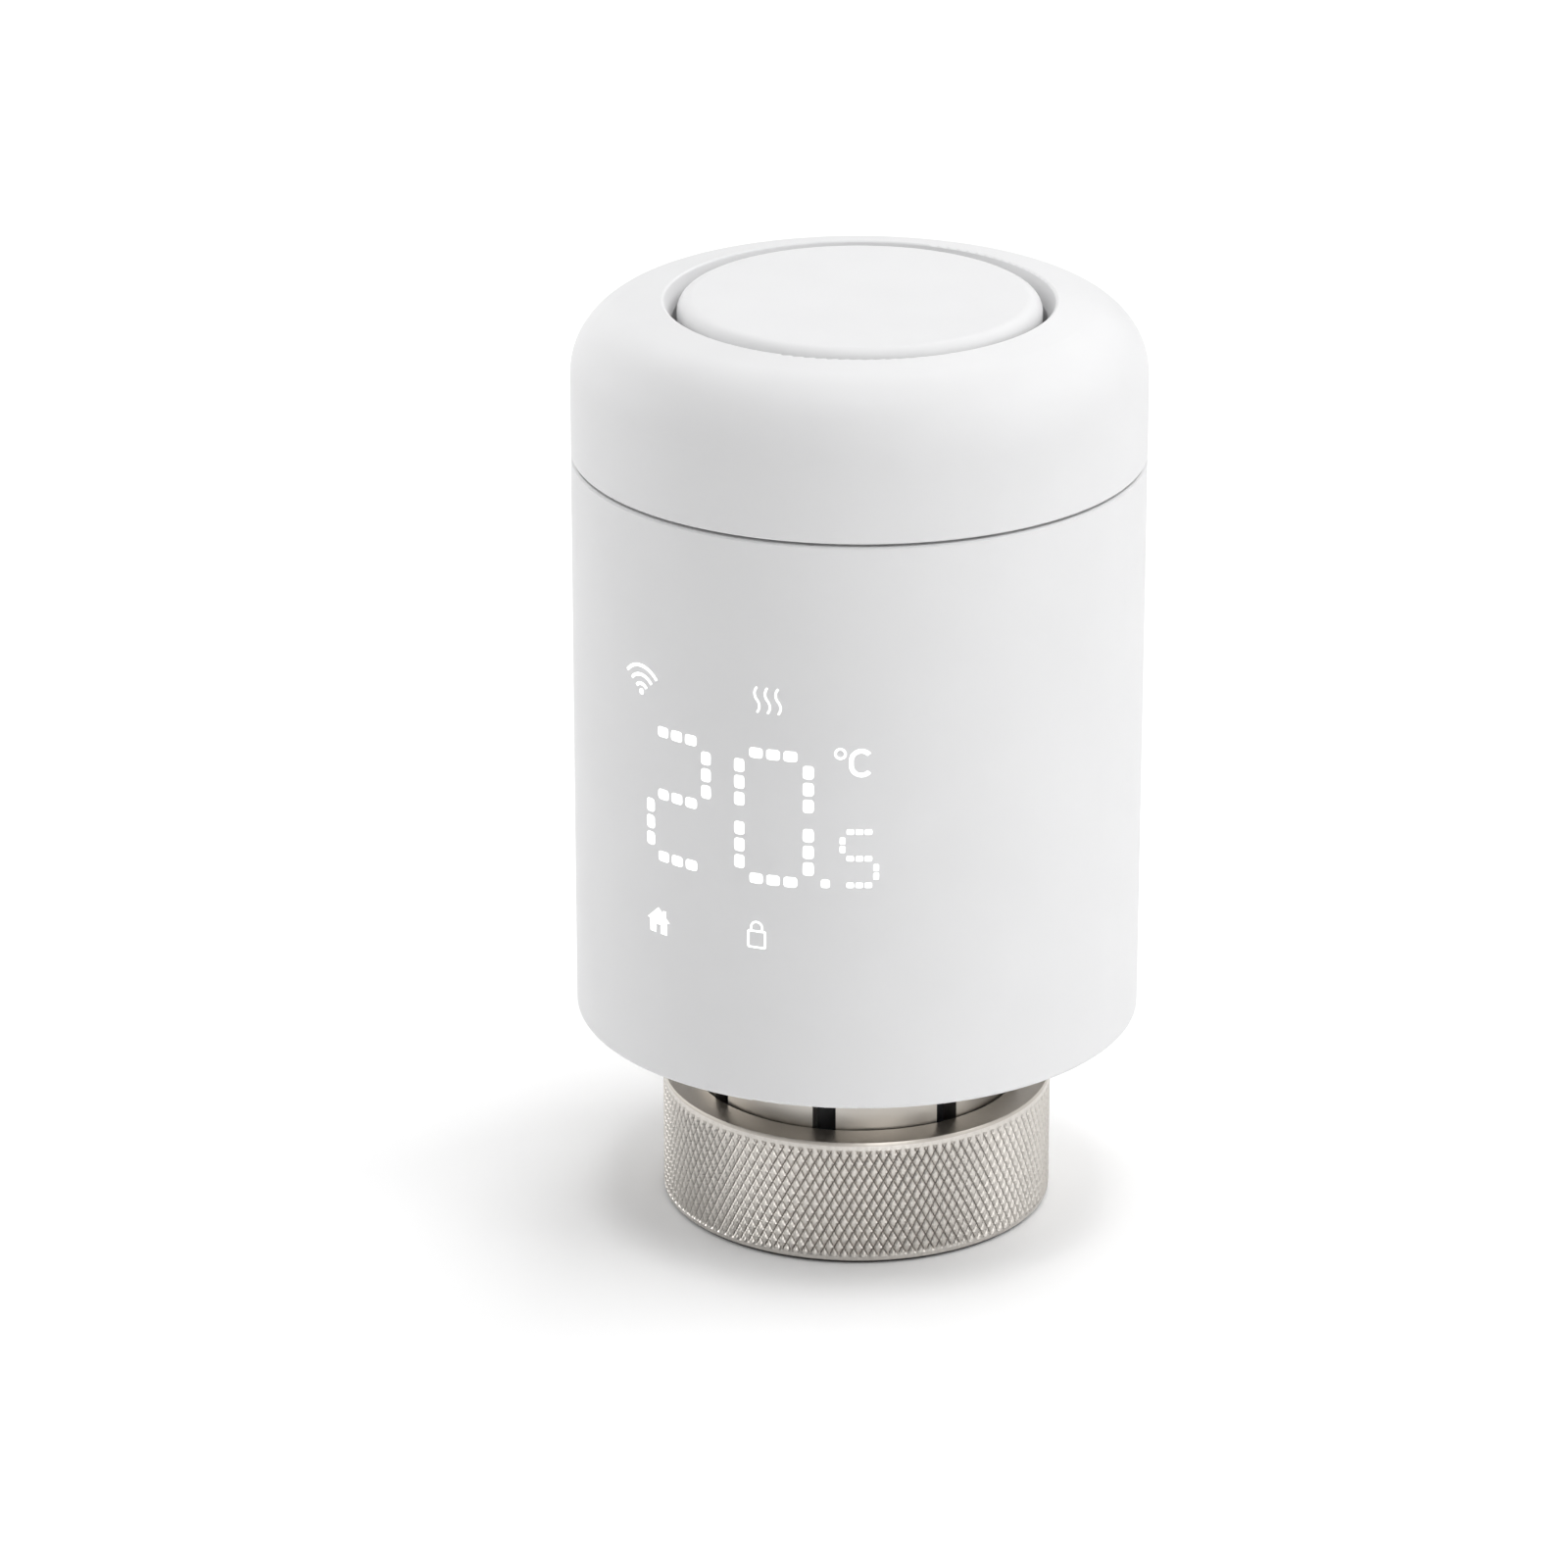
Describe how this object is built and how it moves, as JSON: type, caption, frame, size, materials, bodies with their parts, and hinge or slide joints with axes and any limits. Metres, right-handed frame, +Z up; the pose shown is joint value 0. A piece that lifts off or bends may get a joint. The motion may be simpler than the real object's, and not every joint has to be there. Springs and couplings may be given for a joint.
{
  "type": "thermostatic radiator valve head",
  "caption": "Round white motorised radiator valve head with a turning dial, push button, lit temperature display and knurled metal union nut.",
  "frame": {"origin": "centre of the union nut's lower face, on the turning axis", "axes": "+Z up the turning axis from the nut to the button, display facing -Y, +X to the right of the display"},
  "size_m": [0.053, 0.053, 0.0888],
  "materials": {
    "white_shell": "fine matt moulded",
    "white_dial": "fine matt moulded",
    "white_button": "fine matt moulded",
    "white_inner": "moulded",
    "nickel_nut": "satin nickel plated, knurled",
    "nickel_collar": "satin nickel plated",
    "spring_steel": "drawn wire",
    "screw_steel": "zinc plated",
    "plate_steel": "stamped",
    "contact_nickel": "nickel plated sheet",
    "gear_brass": "machined",
    "gear_plastic": "natural acetal",
    "grey_plastic": "moulded",
    "black_plastic": "moulded",
    "battery_wrap": "shrink sleeve over a steel can",
    "board_green": "solder mask",
    "chip_black": "moulded",
    "flex_amber": "polyimide film",
    "led_white": "lamp package",
    "display_light": "glowing"
  },
  "bodies": {
    "housing": {"outer_shell": "white_shell", "valve_collar": "nickel_collar", "guide_sleeve": "black_plastic", "collar_screws": "screw_steel", "gearbox_base": "grey_plastic", "gearbox_cover": "grey_plastic", "gearbox_screws": "screw_steel", "gear_bridge": "plate_steel", "bridge_screws": "screw_steel", "gear_axles": "spring_steel", "thrust_washer": "gear_brass", "motor_can": "plate_steel", "frame_screws": "screw_steel", "battery_tray": "black_plastic", "left_battery": "battery_wrap", "right_battery": "battery_wrap", "battery_spring": "spring_steel", "battery_contacts": "contact_nickel", "main_board": "board_green", "board_parts": "chip_black", "display_board": "board_green", "display_driver": "chip_black", "display_flex": "flex_amber", "display_reflector": "black_plastic", "display_leds": "led_white", "display_digits": "display_light", "display_icons": "display_light"},
    "nut": {"union_nut": "nickel_nut", "nut_snap_ring": "spring_steel"},
    "motor_rotor": {"motor_pinion": "gear_brass"},
    "first_gear": {"first_gear": "gear_plastic"},
    "second_gear": {"second_gear": "gear_plastic"},
    "drive": {"drive_gear": "gear_plastic"},
    "plunger": {"plunger": "gear_plastic"},
    "top_module": {"dial_base": "white_inner", "contact_pins": "contact_nickel", "battery_bridge": "contact_nickel", "dial_retainer": "spring_steel", "dial_board": "board_green", "encoder_body": "chip_black", "tact_switch": "chip_black", "button_carrier": "white_inner", "button_spring": "spring_steel"},
    "encoder": {"encoder_gear": "gear_plastic"},
    "switch": {"switch_pin": "gear_plastic"},
    "dial": {"dial_ring": "white_dial"},
    "button": {"push_button": "white_button"}
  },
  "joints": [
    {"name": "nut_spin", "type": "hinge", "parent": "housing", "child": "nut", "pos_m": [0, 0, 0.006], "axis": [0, 0, 1], "continuous": true},
    {"name": "cap_lift", "type": "slide", "parent": "housing", "child": "top_module", "axis": [0, 0, 1], "range_m": [0, 0.03]},
    {"name": "dial_turn", "type": "hinge", "parent": "top_module", "child": "dial", "pos_m": [0, 0, 0.08], "axis": [0, 0, 1], "continuous": true},
    {"name": "encoder_turn", "type": "hinge", "parent": "top_module", "child": "encoder", "pos_m": [-0.01414, -0.01414, 0.082], "axis": [0, 0, 1], "continuous": true},
    {"name": "button_press", "type": "slide", "parent": "top_module", "child": "button", "axis": [0, 0, -1], "range_m": [0, 0.0006], "stiffness_N_per_m": 1500, "springref_m": -0.001, "deforming": ["button_spring"]},
    {"name": "switch_press", "type": "slide", "parent": "top_module", "child": "switch", "axis": [0, 0, -1], "range_m": [0, 0.0006]},
    {"name": "drive_turn", "type": "hinge", "parent": "housing", "child": "drive", "pos_m": [0, 0, 0.038], "axis": [0, 0, 1], "range_deg": [0, 1440]},
    {"name": "plunger_slide", "type": "slide", "parent": "housing", "child": "plunger", "axis": [0, 0, -1], "range_m": [0, 0.004]},
    {"name": "second_gear_turn", "type": "hinge", "parent": "housing", "child": "second_gear", "pos_m": [-0.00792, -0.00529, 0.04], "axis": [0, 0, 1], "continuous": true},
    {"name": "first_gear_turn", "type": "hinge", "parent": "housing", "child": "first_gear", "pos_m": [0.0036, -0.0056, 0.043], "axis": [0, 0, 1], "continuous": true},
    {"name": "motor_turn", "type": "hinge", "parent": "housing", "child": "motor_rotor", "pos_m": [0.01512, -0.0062, 0.043], "axis": [0, 0, 1], "continuous": true}
  ],
  "couplings": [
    {"joint": "encoder_turn", "follows": "dial_turn", "ratio": 7.6667},
    {"joint": "switch_press", "follows": "button_press", "ratio": 1},
    {"joint": "plunger_slide", "follows": "drive_turn", "m_per_rad": 0.00015915},
    {"joint": "second_gear_turn", "follows": "drive_turn", "ratio": -2.8},
    {"joint": "first_gear_turn", "follows": "drive_turn", "ratio": 10.08},
    {"joint": "motor_turn", "follows": "drive_turn", "ratio": -36.288}
  ]
}
